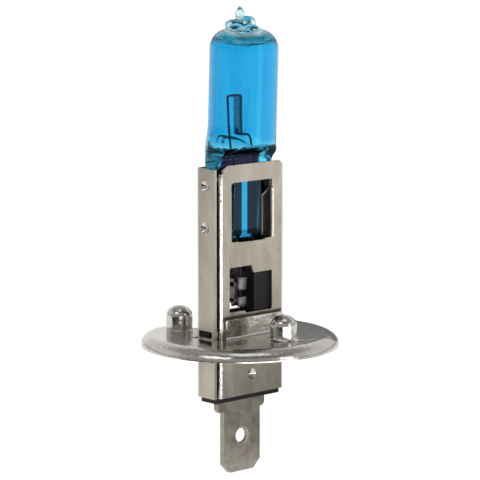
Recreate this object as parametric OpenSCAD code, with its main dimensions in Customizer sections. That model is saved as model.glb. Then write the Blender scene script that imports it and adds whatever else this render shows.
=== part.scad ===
// Single-filament halogen headlight bulb: quartz envelope held between two pressed shells,
// round locating flange, moulded insulator and one flat push-on terminal.
// Millimetres. The origin is on the lamp axis in the plane of the flange's flat seat.
// +Z runs to the glass tip, X runs across the wide faces of the shells, -Y is the front face.

/* [Glass envelope] */
// Outer radius of the quartz tube
tube_r = 4.35; // [4.0:0.05:4.6]
// Wall thickness of the quartz tube
tube_wall = 1.0; // [0.7:0.05:1.2]
// Height where the tube turns into the dome
dome_z = 36.1; // [34:0.1:37]
// Height of the dome above the straight tube
dome_h = 2.1; // [1.6:0.1:3]
// Height of the drawn glass tip
tip_z = 41.4; // [40.5:0.1:42.5]
// Lean of the envelope towards +X, in degrees
glass_lean = 1.8; // [0:0.1:2]
// Thickness of the flat press seal
seal_t = 2.5; // [2.2:0.05:2.6]
// Lower end of the press seal
seal_z = 12.6; // [12.2:0.1:13.5]

/* [Filament] */
// Outside diameter of the coil
coil_d = 1.15; // [0.9:0.05:1.3]
// Height of the lowest turn
coil_z = 25.4; // [25:0.1:26]
// Length of the coil
coil_len = 4.8; // [4:0.1:5.5]
// Number of turns
coil_turns = 20; // [12:1:22]
// Distance of the coil from the lamp axis, towards -X
coil_x = 0.35; // [0:0.05:0.5]

/* [Shells] */
// Width over the two nested shells
shell_w = 11.86; // [11.6:0.02:12.2]
// Depth over the two nested shells, front to back
shell_d = 3.6; // [3.4:0.01:3.8]
// Sheet thickness
sheet = 0.4; // [0.3:0.05:0.5]
// Top of the rear shell
rear_top_z = 21.49; // [21:0.01:21.6]
// Top of the front shell
front_top_z = 21.82; // [21.6:0.01:22]
// Bottom of both shells
shell_bottom_z = -7.63; // [-8:0.01:-7]

/* [Flange] */
// Radius of the flange over its rolled rim
flange_r = 12.67; // [12:0.01:13]
// Radius where the flat seat ends and the rim starts to roll down
seat_r = 10.9; // [10.4:0.1:11.4]
// Drop of the rim below the seat
rim_drop = 1.43; // [1:0.01:1.6]
// Distance of the straight cut from the lamp axis
cut_y = 9.75; // [9.2:0.05:10.4]
// Radius of the two locating pips
pip_r = 1.7; // [1.5:0.05:1.8]
// Height of the pips over the seat
pip_h = 3.1; // [2.6:0.1:3.4]

/* [Terminal] */
// Width of the push-on blade
blade_w = 6.3; // [4.8:0.1:6.4]
// Thickness of the blade
blade_t = 0.8; // [0.7:0.05:0.85]
// Lower end of the blade
blade_end_z = -17.9; // [-19:0.1:-17]
// Radius of the latch hole
latch_r = 0.9; // [0.8:0.05:1.1]
// Height of the latch hole
latch_z = -13.3; // [-13.6:0.1:-13]

/* [Hidden] */
$fn = 48;

eps = 0.01;                            // overlap that makes fused features one solid
cut = 30;                              // length of a cutter that passes right through

// envelope
lean_z = 14;                           // height about which the envelope leans
bore_r = tube_r - tube_wall;
jaw_low_z = 21.95;                     // where the shoulder leaves the flat of the seal
jaw_high_z = 23.7;                     // where the shoulder reaches the tube's surface
blend_z = 26.4;                        // where the seal's wings run out into the tube
neck_x = [-2.6, 2.6];                  // sides of the seal between the window tabs
wing_x = [-5.35, 3.95];                // sides of the seal's wings above them
neck_top_z = 19.4;
bore_top_z = 37.0;                     // end of the gas space
bore_sag = 1.0;                        // how far the melted end sags into it
wing_z = 20.3;
lobe_r = 1.25;                         // the two lobes of the sealed exhaust stub
lobe_x = 0.85;
drop_r = 0.6;                          // the bead drawn off the stub

// wires and foils
coil_wire_r = 0.075;
coil_r = coil_d / 2 - coil_wire_r;
coil_steps = 10;                       // stations in one turn
coil_sides = 5;                        // sides of the wire
ball = 1.08;                           // ball at a lead's bend, over the lead's radius
inner_lead_r = 0.15;
outer_lead_r = 0.3;
foil_t = 0.08;
foil_w = 1.65;
foil_z = [13.0, 20.6];
ground_foil_x = -0.95;
live_foil_x = 1.68;
lead_grip = 0.8;                       // length of a lead that lies on its foil
live_lead_x = 2.05;
ground_lead_x = -0.2;

// shells: two like pressings, turned half round to each other, so that each
// has one side wall outside its neighbour's and one inside it
front_y = -1.87;                       // outer face of the front panel
rear_y = front_y + shell_d;            // outer face of the rear panel
bend_r = 0.5;                          // outer radius of the sheet's bends
nest_gap = 0.3;                        // gap between an outer and an inner side wall
outer_x = shell_w / 2;
inner_x = outer_x - sheet - nest_gap;
outer_leg = shell_d - 0.17;            // depth of an outer side wall, from its panel's face
inner_leg = 2.8;                       // depth of an inner side wall
inner_top_z = 19.9;                    // top of an inner side wall, below the seal's wings
seal_win_x = [-3.2, 3.85];             // window over the press seal
seal_win_z = [12.1, 19.6];
tab_z = [12.1, 18.5];                  // the tabs bent in at both sides of that window
tab_depth = 1.75;
tab_chamfer = 1.1;
weld_win_x = [-3.5, 3.8];              // window over the welds
weld_win_step_x = 0.4;
weld_win_left_z = [3.2, 8.9];
weld_win_right_z = [2.9, 7.9];
stake_z = [14.0, 19.2];                // stakes in the outer side walls
stake_r = 0.6;
dimple_z = -5.1;                       // dimple in the front panel below the flange
dimple_x = 0.25;
dimple_r = 0.8;
slot_z = [0.12, 0.95];                 // slots in the side walls just over the flange
slot_w = 2.5;

// flange
flange_t = 0.5;
key_half = 2.15;                       // keyway in the straight cut
key_y = 6.2;
aperture_x = 6.7;
collar_t = 0.45;
collar_h = 2.45;
collar_x = [-4.6, 5.2];
collar_foot_x = 6.3;
pip_sites = [[-4.0, 7.1], [1.0, -6.95]];
pip_dome_h = 1.25;
pip_wall = 0.5;
rim_steps = 10;

// insulator and terminal
cap_z = -8.3;                          // underside of the insulator
cap_w = shell_w - 0.9;
cap_y = [-1.42, 1.28];
core_w = 2 * (inner_x - sheet) - 0.2;
core_top_z = 2.4;
tower_x = [1.1, 4.6];                  // insulating tower round the live lead
tower_z = 9.9;
ear_x = [-4.2, 3.95];                  // ears of the terminal, under the insulator
ear_h = 1.6;
blade_chamfer = 1.15;
coin_r = 1.35;                         // coined mouths of the latch hole
coin_h = 0.2;
tail_w = 2.4;
tail_z = 1.2;

// ---------- shared shapes ----------

// leans the envelope and everything sealed inside it
module lean() {
    translate([0, 0, lean_z])
        rotate([0, glass_lean, 0])
            translate([0, 0, -lean_z])
                children();
}

// a round wire through a list of points, with a slightly proud ball at each bend
module wire(points, r) {
    for (i = [0 : len(points) - 2]) {
        a = points[i];
        v = points[i + 1] - a;
        span = norm(v);
        translate(a)
            rotate([0, acos(v.z / span), atan2(v.y, v.x)])
                cylinder(r = r, h = span, $fn = 16);
    }
    for (i = [1 : len(points) - 2]) translate(points[i]) sphere(r = r * ball, $fn = 16);
}

// a plate standing in the XZ plane, between two Y values
module upright(y0, y1) {
    translate([0, y1, 0])
        rotate([90, 0, 0])
            linear_extrude(height = y1 - y0)
                children();
}

// a block between two corners
module block(low, high) {
    translate(low) cube(high - low);
}

// a channel's outline, open towards +Y, between two X values, with rounded bends
module channel(x0, x1, y0, y1, r) {
    translate([x0, y0 + r]) square([x1 - x0, y1 - y0 - r]);
    translate([x0 + r, y0]) square([x1 - x0 - 2 * r, r + eps]);
    for (x = [x0 + r, x1 - r]) translate([x, y0 + r]) circle(r = r);
}

// section of the front shell: its inner wall at -X and its outer wall at +X
module shell_section() {
    difference() {
        channel(-inner_x, outer_x, front_y, front_y + outer_leg, bend_r);
        channel(-inner_x + sheet, outer_x - sheet, front_y + sheet, rear_y + 1, bend_r - sheet);
        translate([-inner_x - 1, front_y + inner_leg]) square([2, shell_d]);
    }
}

// the bent sheet of the front shell, up to a height; the rear one is the same, turned round
module bent_sheet(top_z) {
    difference() {
        translate([0, 0, shell_bottom_z])
            linear_extrude(height = top_z - shell_bottom_z)
                shell_section();
        block([-inner_x - 1, front_y + bend_r, inner_top_z], [-inner_x + 1, rear_y, cut]);
    }
}

// a rectangle with its upper corners rounded
module rounded_top(x0, x1, z0, z1, r) {
    translate([x0, z0]) square([x1 - x0, z1 - z0 - r]);
    translate([x0 + r, z0]) square([x1 - x0 - 2 * r, z1 - z0]);
    for (x = [x0 + r, x1 - r]) translate([x, z1 - r]) circle(r = r);
}

// one window tab, seen along X: chamfered at its free upper corner
module tab(x, y_hinge, y_free) {
    translate([x, 0, 0])
        rotate([90, 0, 90])
            linear_extrude(height = sheet)
                polygon([
                    [y_hinge, tab_z[0]], [y_free, tab_z[0]],
                    [y_free, tab_z[1] - tab_chamfer], [y_hinge, tab_z[1]],
                ]);
}

// the two windows that both shells have
module seal_window() {
    rounded_top(seal_win_x[0], seal_win_x[1], seal_win_z[0], seal_win_z[1], 0.4);
}

module weld_window() {
    translate([weld_win_x[0], weld_win_left_z[0]])
        square([weld_win_step_x - weld_win_x[0], weld_win_left_z[1] - weld_win_left_z[0]]);
    translate([-0.8, weld_win_right_z[0]])
        square([weld_win_x[1] + 0.8, weld_win_right_z[1] - weld_win_right_z[0]]);
}

// ---------- envelope ----------

// the jaws' profile, seen along X: flat seal below, shoulders flaring to the tube above
module jaws(half, low, high, reach) {
    rotate([90, 0, 90])
        translate([0, 0, -cut / 2])
            linear_extrude(height = cut)
                polygon([
                    [-half, seal_z], [half, seal_z], [half, low], [reach, high],
                    [reach, tip_z + 2], [-reach, tip_z + 2], [-reach, high], [-half, low],
                ]);
}

function dome(r, z, h, n) = [for (i = [0 : n]) [r * cos(90 * i / n), z + h * sin(90 * i / n)]];

module tube_solid() {
    intersection() {
        rotate_extrude()
            polygon(concat([[0, wing_z]], [[tube_r, wing_z]], dome(tube_r, dome_z, dome_h, 8)));
        jaws(seal_t / 2, jaw_low_z, jaw_high_z, tube_r + 1);
    }
}

module seal_slab() {
    upright(-seal_t / 2, seal_t / 2)
        polygon([
            [neck_x[0], seal_z], [neck_x[1], seal_z], [neck_x[1], neck_top_z],
            [wing_x[1], wing_z], [wing_x[1], jaw_low_z], [tube_r - 0.05, blend_z],
            [-tube_r + 0.05, blend_z], [wing_x[0], jaw_low_z], [wing_x[0], wing_z],
            [neck_x[0], neck_top_z],
        ]);
}

module exhaust_tip() {
    for (s = [-1, 1])
        translate([s * lobe_x, 0, dome_z + dome_h + 0.75 + 0.12 * s]) sphere(r = lobe_r);
    translate([0, 0, tip_z - drop_r]) sphere(r = drop_r);
    translate([0, 0, dome_z + dome_h])
        cylinder(r1 = 1.3, r2 = drop_r * 0.8, h = tip_z - drop_r - dome_z - dome_h);
}

module gas_space() {
    intersection() {
        rotate_extrude()
            polygon([
                [0, jaw_high_z - 0.8], [bore_r, jaw_high_z - 0.8], [bore_r, bore_top_z - 0.5],
                [bore_r - 0.15, bore_top_z - 0.15], [bore_r - 0.5, bore_top_z],
                [1.8, bore_top_z - bore_sag * 0.6], [0, bore_top_z - bore_sag],
            ]);
        jaws(0.7, jaw_high_z - 0.8, jaw_high_z + 1.2, bore_r + 0.1);
    }
}

module glass_envelope() color([0.12, 0.6, 0.85, 0.45]) {
    difference() {
        lean() {
            difference() {
                union() {
                    tube_solid();
                    seal_slab();
                    exhaust_tip();
                }
                gas_space();
            }
        }
        // the leads and foils lie in passages of their own size
        long_inner_lead_shape();
        short_inner_lead_shape();
        foil(ground_foil_x);
        foil(live_foil_x);
        ground_outer_lead_shape();
        live_outer_lead_shape();
    }
}

// ---------- filament, leads and foils ----------

// a point on the coil's wire: station i round the helix, side j round the wire
function coil_point(i, j) =
    let (a = 360 * i / coil_steps,
         b = 360 * j / coil_sides,
         reach = coil_r + coil_wire_r * cos(b))
    [reach * cos(a), reach * sin(a),
     coil_len * i / (coil_steps * coil_turns) + coil_wire_r * sin(b)];

module helix() {
    stations = coil_steps * coil_turns;
    n = coil_sides;
    points = [for (i = [0 : stations]) for (j = [0 : n - 1]) coil_point(i, j)];
    sides = [for (i = [0 : stations - 1]) for (j = [0 : n - 1])
        let (k = (j + 1) % n)
        each [[i * n + j, i * n + k, (i + 1) * n + k], [i * n + j, (i + 1) * n + k, (i + 1) * n + j]]];
    foot = [[for (j = [n - 1 : -1 : 0]) j]];
    head = [[for (j = [0 : n - 1]) stations * n + j]];
    polyhedron(points = points, faces = concat(sides, foot, head));
}

module filament_coil() color([0.35, 0.35, 0.38])
    translate([-coil_x, 0, coil_z]) helix();

coil_top_z = coil_z + coil_len;

module long_inner_lead_shape() {
    wire([
        [-coil_x - coil_r - coil_wire_r, 0, coil_top_z + 0.15], [-1.9, 0, coil_top_z + 0.1],
        [-2.1, 0, coil_top_z - 0.2], [-1.7, 0, 23.4], [ground_foil_x - 0.3, 0, foil_z[1] - lead_grip],
    ], inner_lead_r);
}

module short_inner_lead_shape() {
    wire([
        [-coil_x + coil_r + coil_wire_r, 0, coil_z - 0.15], [1.2, 0, coil_z - 0.2],
        [1.65, 0, coil_z - 0.7], [live_foil_x, 0, foil_z[1] - lead_grip],
    ], inner_lead_r);
}

module long_inner_lead() color([0.45, 0.45, 0.48])
    long_inner_lead_shape();

module short_inner_lead() color([0.45, 0.45, 0.48])
    short_inner_lead_shape();

// a ribbon of foil, pressed flat in the seal just behind the leads' ends
module foil(x) {
    block([x - foil_w / 2, inner_lead_r, foil_z[0]], [x + foil_w / 2, inner_lead_r + foil_t, foil_z[1]]);
}

module ground_foil() color([0.3, 0.3, 0.33])
    foil(ground_foil_x);

module live_foil() color([0.3, 0.3, 0.33])
    foil(live_foil_x);

outer_lead_y = inner_lead_r - outer_lead_r;

module ground_outer_lead_shape() {
    wire([
        [ground_foil_x, outer_lead_y, foil_z[0] + lead_grip], [ground_foil_x, outer_lead_y, 11.6],
        [ground_lead_x, outer_lead_y, 9.4], [ground_lead_x, outer_lead_y, 3.4],
    ], outer_lead_r);
}

module live_outer_lead_shape() {
    wire([
        [live_foil_x, outer_lead_y, foil_z[0] + lead_grip], [live_lead_x, outer_lead_y, 9.4],
        [live_lead_x, outer_lead_y, 5.2],
    ], outer_lead_r);
}

module ground_outer_lead() color([0.55, 0.55, 0.55])
    ground_outer_lead_shape();

module live_outer_lead() color([0.55, 0.55, 0.55])
    live_outer_lead_shape();

// ---------- straps welded to the outer leads ----------

// bent strip from the rear panel, with two lugs that wrap the front of the ground lead
module ground_strap() color([0.62, 0.6, 0.56]) {
    lug_y = outer_lead_y - outer_lead_r;
    // ribbon that lies against the rear panel
    upright(rear_y - sheet - 0.3, rear_y - sheet)
        polygon([[-0.9, 3.8], [0.1, 3.8], [0.1, 6.9], [0.9, 8.4], [-0.2, 8.4], [-0.9, 7.3]]);
    // legs that come forward to the lugs
    block([-0.85, lug_y - 0.3, 5.9], [-0.55, rear_y - sheet - 0.15, 6.6]);
    block([-0.85, lug_y - 0.3, 4.0], [-0.55, rear_y - sheet - 0.15, 4.5]);
    upright(lug_y - 0.3, lug_y)
        polygon([[-0.85, 5.6], [0.75, 5.7], [0.75, 7.2], [-0.6, 7.35], [-0.85, 7.1]]);
    upright(lug_y - 0.3, lug_y)
        polygon([[-0.85, 3.5], [0.4, 3.5], [0.4, 4.75], [-0.85, 4.75]]);
}

// strip from the live lead down into the insulator, where the terminal's tail takes it
module live_strap() color([0.62, 0.6, 0.56]) {
    strap_y = outer_lead_y + outer_lead_r;
    block([1.7, strap_y, tail_z - 1.6], [2.5, strap_y + 0.3, 6.4]);
    block([-0.8, strap_y, tail_z - 1.6], [1.7 + eps, strap_y + 0.3, tail_z - 0.4]);
}

// ---------- shells ----------

module side_slots() {
    block([-cut / 2, -slot_w / 2, slot_z[0]], [cut / 2, slot_w / 2, slot_z[1]]);
}

// pits of the two stakes in an outer side wall
module stakes(side) {
    for (z = stake_z)
        translate([side * (outer_x + eps), 0, z])
            rotate([0, -90 * side, 0])
                cylinder(r1 = stake_r, r2 = 0.25, h = sheet * 0.7);
}

// feet that join the tabs to their panel
module tab_feet(y0, y1) {
    for (x = [seal_win_x[1] - sheet, seal_win_x[0]])
        block([x, y0, tab_z[0] - 0.2], [x + sheet, y1, tab_z[1] - 0.2]);
}

module front_shell() color([0.68, 0.66, 0.62]) {
    difference() {
        intersection() {
            bent_sheet(front_top_z);
            upright(front_y - 1, rear_y + 1)
                rounded_top(-inner_x - eps, outer_x + eps, shell_bottom_z, front_top_z, 0.8);
        }
        upright(front_y - 1, 0) {
            seal_window();
            weld_window();
            // relief between the tabs' feet
            translate([-1.9, seal_win_z[0] - 0.15]) square([4.5, 1]);
        }
        // cone of the dimple
        translate([dimple_x, front_y - eps, dimple_z])
            rotate([-90, 0, 0])
                cylinder(r1 = dimple_r, r2 = 0.3, h = sheet * 0.6);
        stakes(1);
        side_slots();
    }
    tab(seal_win_x[1] - sheet, front_y + sheet / 2, front_y + tab_depth);
    tab(seal_win_x[0], front_y + sheet / 2, front_y + tab_depth);
    tab_feet(front_y, front_y + sheet);
}

module rear_shell() color([0.66, 0.64, 0.6]) {
    difference() {
        translate([0, front_y + rear_y, 0])
            rotate([0, 0, 180])
                bent_sheet(rear_top_z);
        upright(0, rear_y + 1) {
            seal_window();
            weld_window();
        }
        stakes(-1);
        side_slots();
    }
    tab(seal_win_x[1] - sheet, rear_y - sheet / 2, rear_y - tab_depth);
    tab(seal_win_x[0], rear_y - sheet / 2, rear_y - tab_depth);
    tab_feet(rear_y - sheet, rear_y);
}

// ---------- flange ----------

// half section of the dished disc, with its rim rolled down as a quarter ellipse
module disc_section() {
    roll = flange_r - seat_r;
    outer = [for (i = [0 : rim_steps]) let (a = 90 * i / rim_steps)
        [seat_r + roll * sin(a), rim_drop * (cos(a) - 1)]];
    inner = [for (i = [rim_steps : -1 : 0]) let (a = 90 * i / rim_steps)
        [seat_r + (roll - flange_t) * sin(a), -flange_t + (rim_drop - flange_t) * (cos(a) - 1)]];
    polygon(concat([[0, 0]], outer, [[flange_r - flange_t, -rim_drop]], inner, [[0, -flange_t]]));
}

module pip(r, h, dome_rise) {
    rotate_extrude()
        polygon(concat([[0, -flange_t]], [[r, -flange_t]],
                       [for (a = [0 : 11.25 : 90]) [r * cos(a), h - dome_rise + dome_rise * sin(a)]]));
}

module collar(y0, y1) {
    upright(y0, y1)
        polygon([
            [collar_x[0], -flange_t], [collar_foot_x, -flange_t], [collar_foot_x, 0],
            [collar_foot_x - 0.45, 0.9], [collar_x[1] + 0.35, 1.8], [collar_x[1] - 0.1, collar_h],
            [collar_x[0] + 0.5, collar_h], [collar_x[0], collar_h - 0.5],
        ]);
}

module flange() color([0.75, 0.74, 0.72]) {
    difference() {
        union() {
            rotate_extrude() disc_section();
            for (p = pip_sites) translate([p.x, p.y, 0]) pip(pip_r, pip_h, pip_dome_h);
        }
        // hollow undersides of the pips
        for (p = pip_sites)
            translate([p.x, p.y, -eps]) pip(pip_r - pip_wall, pip_h - pip_wall, pip_dome_h - 0.3);
        // straight cut, and the keyway in it
        block([-cut / 2, cut_y, -5], [cut / 2, cut, 5]);
        block([-key_half, key_y, -5], [key_half, cut, 5]);
        // opening for the shells
        block([-aperture_x, front_y, -5], [aperture_x, rear_y, 5]);
    }
    collar(front_y - collar_t, front_y);
    collar(rear_y, rear_y + collar_t);
}

// ---------- insulator and terminal ----------

module terminal_outline() {
    half = blade_w / 2;
    polygon([
        [ear_x[0], cap_z], [ear_x[0], cap_z - ear_h + 0.4], [ear_x[0] + 0.4, cap_z - ear_h],
        [-half, cap_z - ear_h], [-half, blade_end_z + blade_chamfer],
        [-half + blade_chamfer, blade_end_z], [half - blade_chamfer, blade_end_z],
        [half, blade_end_z + blade_chamfer], [half, cap_z - ear_h],
        [ear_x[1] - 0.4, cap_z - ear_h], [ear_x[1], cap_z - ear_h + 0.4], [ear_x[1], cap_z],
        [tail_w / 2, cap_z], [tail_w / 2, tail_z], [-tail_w / 2, tail_z], [-tail_w / 2, cap_z],
    ]);
}

module terminal_shape() {
    difference() {
        upright(-blade_t / 2, blade_t / 2) terminal_outline();
        translate([0, 0, latch_z])
            rotate([90, 0, 0])
                cylinder(r = latch_r, h = cut, center = true);
        // coined mouths of the latch hole
        for (s = [-1, 1])
            translate([0, s * (blade_t / 2 + eps), latch_z])
                rotate([90 * s, 0, 0])
                    cylinder(r1 = coin_r, r2 = latch_r, h = coin_h + eps);
        // seat for the live strap's foot
        block([-cut, 0, tail_z - 1.7], [cut, cut, cut]);
    }
}

module terminal_blade() color([0.5, 0.49, 0.46])
    terminal_shape();

module insulator_block() color([0.07, 0.06, 0.08]) {
    difference() {
        union() {
            // foot that shows under the shells
            block([-cap_w / 2, cap_y[0], cap_z], [cap_w / 2, cap_y[1], shell_bottom_z]);
            // core between the shells
            block([-core_w / 2, cap_y[0], shell_bottom_z - eps], [core_w / 2, cap_y[1], core_top_z]);
            block([tower_x[0], cap_y[0], core_top_z - eps], [tower_x[1], cap_y[1], tower_z]);
        }
        // pocket for the terminal's tail, the live strap and the live lead
        block([-tail_w / 2, -blade_t / 2, cap_z - 1], [tail_w / 2, blade_t / 2, tail_z]);
        block([-tail_w / 2, outer_lead_y + outer_lead_r, tail_z - 1.7], [1.7, 0.5, core_top_z + 1]);
        block([1.6, outer_lead_y - outer_lead_r - 0.1, tail_z - 1.7], [2.6, 0.5, tower_z + 1]);
    }
}

glass_envelope();
filament_coil();
long_inner_lead();
short_inner_lead();
ground_foil();
live_foil();
ground_outer_lead();
live_outer_lead();
ground_strap();
live_strap();
front_shell();
rear_shell();
flange();
insulator_block();
terminal_blade();
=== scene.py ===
"""Looks of the halogen headlight bulb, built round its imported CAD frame.

Lengths are in millimetres while a piece is being drawn, and become metres when it is placed.
The frame is the CAD's: lamp axis +Z, flange seat at z = 0, windowed front face towards -Y.
"""
from math import atan2, cos, hypot, pi, radians, sin, sqrt, tan

import bmesh
import bpy
from mathutils import Matrix, Vector


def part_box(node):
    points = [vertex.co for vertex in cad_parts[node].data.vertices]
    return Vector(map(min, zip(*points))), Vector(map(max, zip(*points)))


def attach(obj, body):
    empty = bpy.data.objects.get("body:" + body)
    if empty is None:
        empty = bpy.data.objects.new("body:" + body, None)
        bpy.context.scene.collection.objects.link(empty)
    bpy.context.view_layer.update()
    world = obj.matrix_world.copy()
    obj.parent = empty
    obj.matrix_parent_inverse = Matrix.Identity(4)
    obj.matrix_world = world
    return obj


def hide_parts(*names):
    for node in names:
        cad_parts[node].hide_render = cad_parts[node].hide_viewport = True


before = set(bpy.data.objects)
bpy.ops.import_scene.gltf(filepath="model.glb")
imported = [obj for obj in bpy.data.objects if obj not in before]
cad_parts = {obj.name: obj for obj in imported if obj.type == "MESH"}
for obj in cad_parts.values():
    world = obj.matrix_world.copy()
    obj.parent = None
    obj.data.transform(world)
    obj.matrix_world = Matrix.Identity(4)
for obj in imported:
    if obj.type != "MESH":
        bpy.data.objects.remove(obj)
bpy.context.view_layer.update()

MM = 0.001


# ---------- sizes, in millimetres ----------

def node_box(node):
    """Lowest and highest corner of a CAD node, in millimetres."""
    low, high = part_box(node)
    return low / MM, high / MM


FRONT_LOW, FRONT_HIGH = node_box("front_shell")
REAR_LOW, REAR_HIGH = node_box("rear_shell")
FLANGE_LOW, FLANGE_HIGH = node_box("flange")
GLASS_TOP = node_box("glass_envelope")[1].z
COIL_LOW, COIL_HIGH = node_box("filament_coil")
BLADE_FOOT = node_box("terminal_blade")[0].z

SHEET = 0.4  # sheet of the shells
BEND = 0.5  # outer radius of their long bends
TAB_BEND = 0.4  # outer radius of the window tabs' bends
EDGE_ROUND = 0.08  # rounding of the sheared edges


# ---------- drawing helpers ----------

def mesh_object(bm, name):
    """Turns a mesh drawn in millimetres into an object of the scene."""
    bmesh.ops.scale(bm, vec=(MM, MM, MM), verts=bm.verts)
    mesh = bpy.data.meshes.new(name)
    bm.to_mesh(mesh)
    bm.free()
    made = bpy.data.objects.new(name, mesh)
    bpy.context.scene.collection.objects.link(made)
    return made


def place(bm, name):
    """Turns a mesh drawn in millimetres into a piece that rides on the bulb's one body."""
    piece = mesh_object(bm, name)
    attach(piece, "root")
    return piece


def stands_for(piece, node, slot, *materials):
    """Gives a piece its materials, if it has none yet, and lets it replace its CAD node."""
    for material in materials:
        piece.data.materials.append(material)
    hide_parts(node)


def apply_modifiers(piece):
    """Bakes a piece's modifiers into its mesh."""
    depsgraph = bpy.context.evaluated_depsgraph_get()
    baked = bpy.data.meshes.new_from_object(piece.evaluated_get(depsgraph))
    piece.modifiers.clear()
    piece.data = baked


def shade(piece, angle=32):
    """Smooth shading that stops at edges sharper than the angle, and keeps flats flat."""
    piece.data.shade_smooth()
    piece.data.set_sharp_from_angle(angle=radians(angle))
    weights = piece.modifiers.new("flat faces", "WEIGHTED_NORMAL")
    weights.keep_sharp = True
    apply_modifiers(piece)


def bevel(piece, width, segments=2, angle=40):
    """Rounds a piece's sharp edges."""
    edge = piece.modifiers.new("edges", "BEVEL")
    edge.width = width * MM
    edge.segments = segments
    edge.limit_method = "ANGLE"
    edge.angle_limit = radians(angle)
    edge.use_clamp_overlap = True
    apply_modifiers(piece)


def rounded(corners, steps=5):
    """Points of an outline whose corners (x, y, radius) are rounded."""
    points = []
    count = len(corners)
    for i, (x, y, radius) in enumerate(corners):
        here = Vector((x, y))
        if radius <= 0:
            points.append(here)
            continue
        before = (Vector(corners[i - 1][:2]) - here).normalized()
        after = (Vector(corners[(i + 1) % count][:2]) - here).normalized()
        half = before.angle(after) / 2
        centre = here + (before + after).normalized() * radius / sin(half)
        start = here + before * radius / tan(half) - centre
        sweep = start.angle_signed(here + after * radius / tan(half) - centre)
        for k in range(steps + 1):
            turned = start.copy()
            turned.rotate(Matrix.Rotation(-sweep * k / steps, 2))
            points.append(centre + turned)
    return points


def full_turn(steps):
    """Angles of evenly spaced points round a circle."""
    return [2 * pi * i / steps for i in range(steps)]


def circle(x, y, radius, steps=28):
    """Points of a circle."""
    return [Vector((x + radius * cos(a), y + radius * sin(a))) for a in full_turn(steps)]


def skin(bm, rings):
    """Faces between closed rings of vertices, with both ends capped."""
    faces = []
    for low, high in zip(rings, rings[1:]):
        faces += [bm.faces.new((low[i - 1], low[i], high[i], high[i - 1])) for i in range(len(low))]
    return [*faces, bm.faces.new(rings[0][::-1]), bm.faces.new(rings[-1])]


class Sheet:
    """Pressed sheet metal, drawn as its outer surface. Solidify gives it its thickness."""

    def __init__(self):
        self.bm = bmesh.new()

    def panel(self, to_space, outline, holes=(), material=0):
        """A flat face inside an outline of (u, v) points, open at its holes."""
        edges = []
        for loop in [outline, *holes]:
            ring = [self.bm.verts.new(to_space(p[0], p[1])) for p in loop]
            edges += [self.bm.edges.new((a, b)) for a, b in zip(ring, ring[1:] + ring[:1])]
        filled = bmesh.ops.triangle_fill(self.bm, use_beauty=True, edges=edges)
        for face in filled["geom"]:
            if isinstance(face, bmesh.types.BMFace):
                face.material_index = material

    def rows(self, rows, closed=False, material=0):
        """Quads between rows of points."""
        made = [[self.bm.verts.new(p) for p in row] for row in rows]
        for low, high in zip(made, made[1:]):
            for i in range(0 if closed else 1, len(low)):
                face = self.bm.faces.new((low[i - 1], low[i], high[i], high[i - 1]))
                face.material_index = material
        return made

    def dome(self, rows, material=0):
        """Closed rows, with the last row filled by one face."""
        made = self.rows(rows, closed=True, material=material)
        self.bm.faces.new(made[-1]).material_index = material

    def piece(self, name, thickness, outward, materials):
        """Merges the surface, turns its outside towards `outward` and gives it thickness.

        The sheared edges take the first material and the inside takes the last.
        """
        bm = self.bm
        bmesh.ops.remove_doubles(bm, verts=bm.verts, dist=1e-4)
        bmesh.ops.recalc_face_normals(bm, faces=bm.faces)
        bm.normal_update()
        largest = max(bm.faces, key=lambda f: f.calc_area())
        if largest.normal.dot(outward) < 0:
            bmesh.ops.reverse_faces(bm, faces=bm.faces)
        piece = place(bm, name)
        for material in materials:
            piece.data.materials.append(material)
        solid = piece.modifiers.new("sheet", "SOLIDIFY")
        solid.thickness = thickness * MM
        solid.offset = -1
        solid.use_even_offset = True
        solid.material_offset = len(materials) - 1
        solid.material_offset_rim = -len(materials)
        apply_modifiers(piece)
        bevel(piece, EDGE_ROUND)
        shade(piece)
        return piece


def extrude(bm, outline, along):
    """A solid between an outline of 3-D points and the same outline moved along a vector."""
    near = [bm.verts.new(p) for p in outline]
    far = [bm.verts.new(Vector(p) + Vector(along)) for p in outline]
    bm.faces.new(near)
    bm.faces.new(list(reversed(far)))
    for i, j in zip(range(len(near)), [*range(1, len(near)), 0]):
        bm.faces.new((near[j], near[i], far[i], far[j]))
    bmesh.ops.recalc_face_normals(bm, faces=bm.faces)


def quarter_turn(steps):
    """Angles from 0 to a right angle."""
    return [pi / 2 * k / steps for k in range(steps + 1)]


def arc(x0, y0, x1, y1, turn, steps=6):
    """Plan points of a quarter bend from one tangent point to the next, round `turn`."""
    a0 = atan2(y0 - turn[1], x0 - turn[0])
    a1 = atan2(y1 - turn[1], x1 - turn[0])
    sweep = (a1 - a0 + pi) % (2 * pi) - pi
    radius = hypot(x0 - turn[0], y0 - turn[1])
    angles = [a0 + sweep * k / steps for k in range(steps + 1)]
    return [(turn[0] + radius * cos(a), turn[1] + radius * sin(a)) for a in angles]


# ---------- materials ----------

UP = (0, 0, 1)
TO_LEFT = (-1, 0, 0)
TO_FRONT = (0, -1, 0)
NOISE_LOW, NOISE_HIGH = 0.3, 0.7  # nearly all of a noise lies between these
BLUE_GLINT = (0.35, 0.78, 1.0)


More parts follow.
